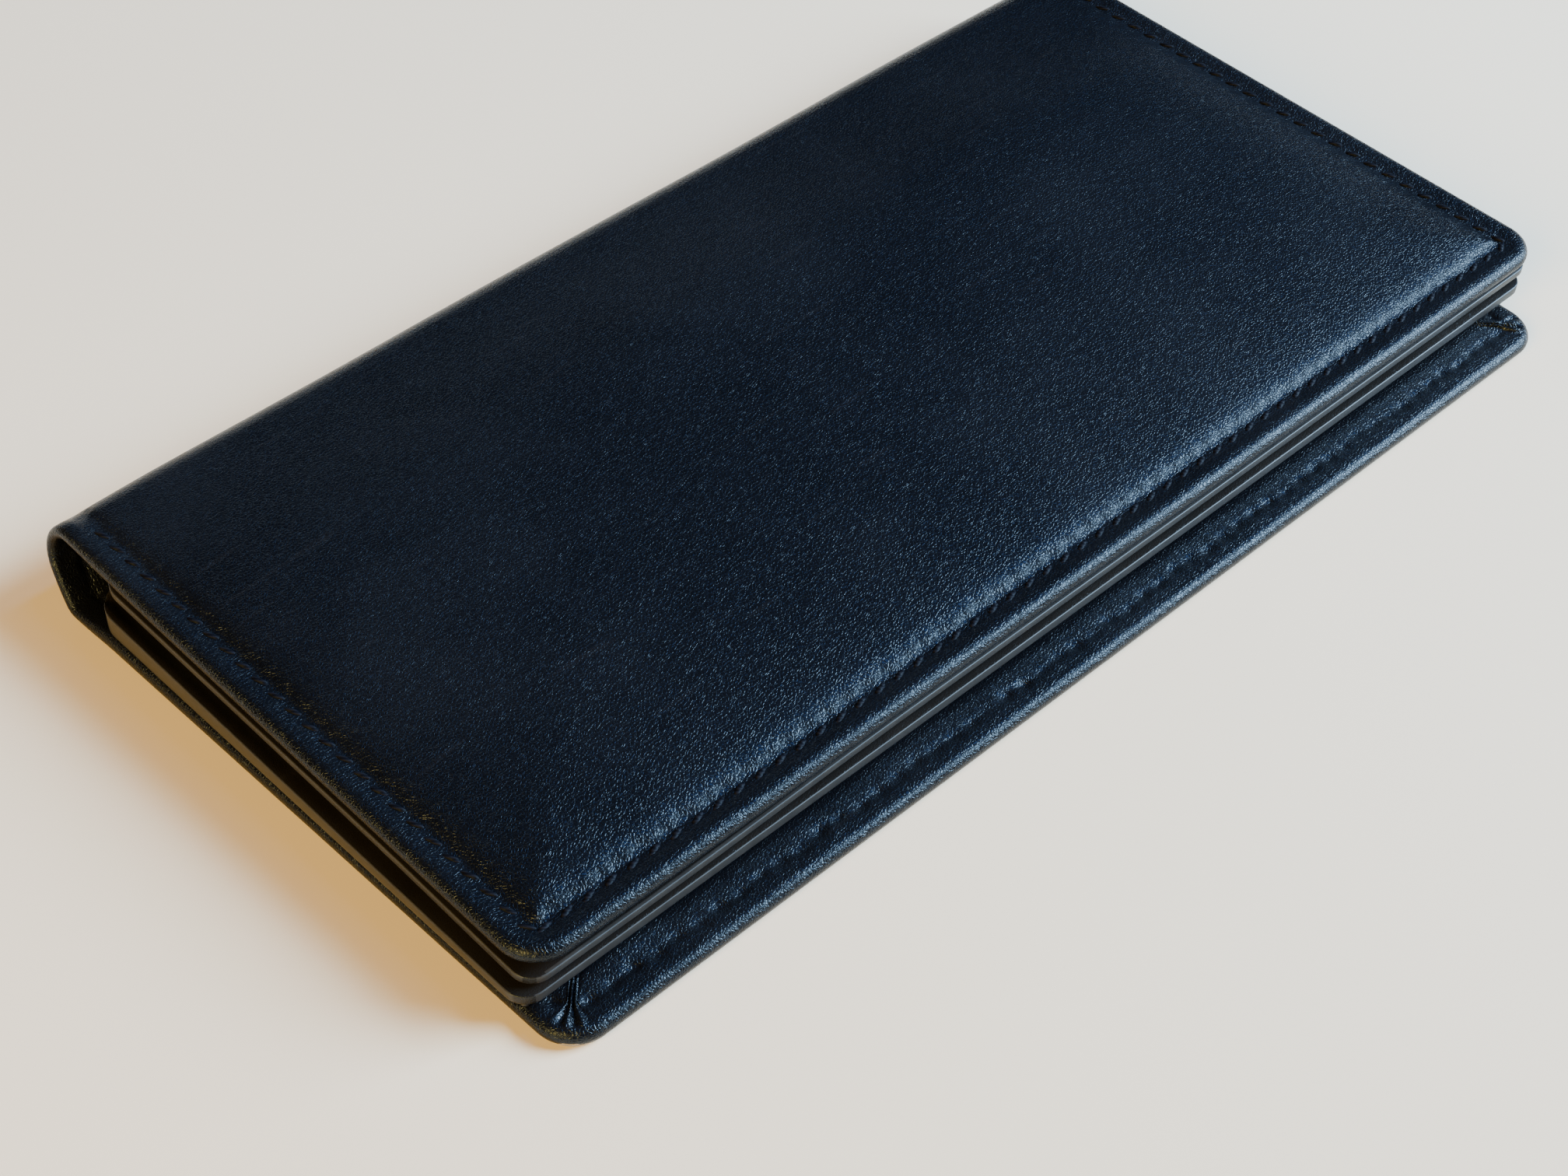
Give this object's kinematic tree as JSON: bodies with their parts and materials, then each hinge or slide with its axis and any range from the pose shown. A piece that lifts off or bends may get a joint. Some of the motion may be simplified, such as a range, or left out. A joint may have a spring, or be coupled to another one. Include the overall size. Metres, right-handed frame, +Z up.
{
  "type": "long wallet",
  "caption": "Black leather long wallet that folds along its long side, with gusseted note compartments, card slots and a slip pocket, shown closed.",
  "frame": {"origin": "bottom centre of the bounding box of the closed wallet, on the surface that it lies on", "axes": "+X along the fold, +Y from the open long edge to the spine, +Z up from the lower cover to the upper cover"},
  "size_m": [0.19, 0.1014, 0.0124],
  "materials": {
    "cover_leather": "fine-grained black leather, semi-gloss",
    "inner_leather": "smooth black leather, satin, edges painted",
    "lining_leather": "thin creased black leather, satin",
    "lining_cloth": "black twill lining",
    "stiffener_board": "matt board, hidden",
    "thread": "waxed black thread"
  },
  "bodies": {
    "lower_cover": {"lower_cover_leather": "cover_leather", "lower_cover_board": "stiffener_board", "lower_cover_lining": "lining_leather", "slip_pocket_panel": "inner_leather", "lower_cover_stitching": "thread"},
    "spine": {"spine_leather": "cover_leather", "spine_lining": "lining_leather"},
    "upper_cover": {"upper_cover_leather": "cover_leather", "upper_cover_board": "stiffener_board", "upper_cover_lining": "lining_leather", "upper_cover_stitching": "thread", "divider_seam_strip": "lining_leather", "left_divider_gusset": "lining_leather", "right_divider_gusset": "lining_leather"},
    "note_divider": {"note_divider_panel": "inner_leather", "note_divider_lining": "lining_cloth", "pocket_seam_strip": "lining_leather", "left_pocket_gusset": "lining_leather", "right_pocket_gusset": "lining_leather"},
    "pocket_front": {"pocket_front_panel": "inner_leather", "pocket_front_lining": "lining_cloth", "card_slot_centre_stitching": "thread", "card_slot_edge_stitching": "thread", "card_slot_left_1": "inner_leather", "card_slot_left_2": "inner_leather", "card_slot_left_3": "inner_leather", "card_slot_left_4": "inner_leather", "card_slot_right_1": "inner_leather", "card_slot_right_2": "inner_leather", "card_slot_right_3": "inner_leather", "card_slot_right_4": "inner_leather"}
  },
  "joints": [
    {"name": "spine_fold", "type": "hinge", "parent": "lower_cover", "child": "spine", "pos_m": [0, 0.04529, 0.00019], "axis": [-1, 0, 0], "range_deg": [0, 49.37]},
    {"name": "cover_fold", "type": "hinge", "parent": "spine", "child": "upper_cover", "pos_m": [0, 0.05138, 0.01035], "axis": [-1, 0, 0], "range_deg": [0, 131.85]},
    {"name": "divider_swing", "type": "hinge", "parent": "upper_cover", "child": "note_divider", "pos_m": [0, -0.04359, 0.00786], "axis": [-1, 0, 0], "range_deg": [0, 6], "deforming": ["left_divider_gusset", "right_divider_gusset"]},
    {"name": "pocket_spread", "type": "hinge", "parent": "note_divider", "child": "pocket_front", "pos_m": [0, -0.04395, 0.0056], "axis": [-1, 0, 0], "range_deg": [0, 8], "deforming": ["left_pocket_gusset", "right_pocket_gusset"]}
  ],
  "couplings": [
    {"joint": "cover_fold", "follows": "spine_fold", "ratio": 2.6704},
    {"joint": "divider_swing", "follows": "spine_fold", "ratio": 0.12},
    {"joint": "pocket_spread", "follows": "spine_fold", "ratio": 0.16}
  ]
}
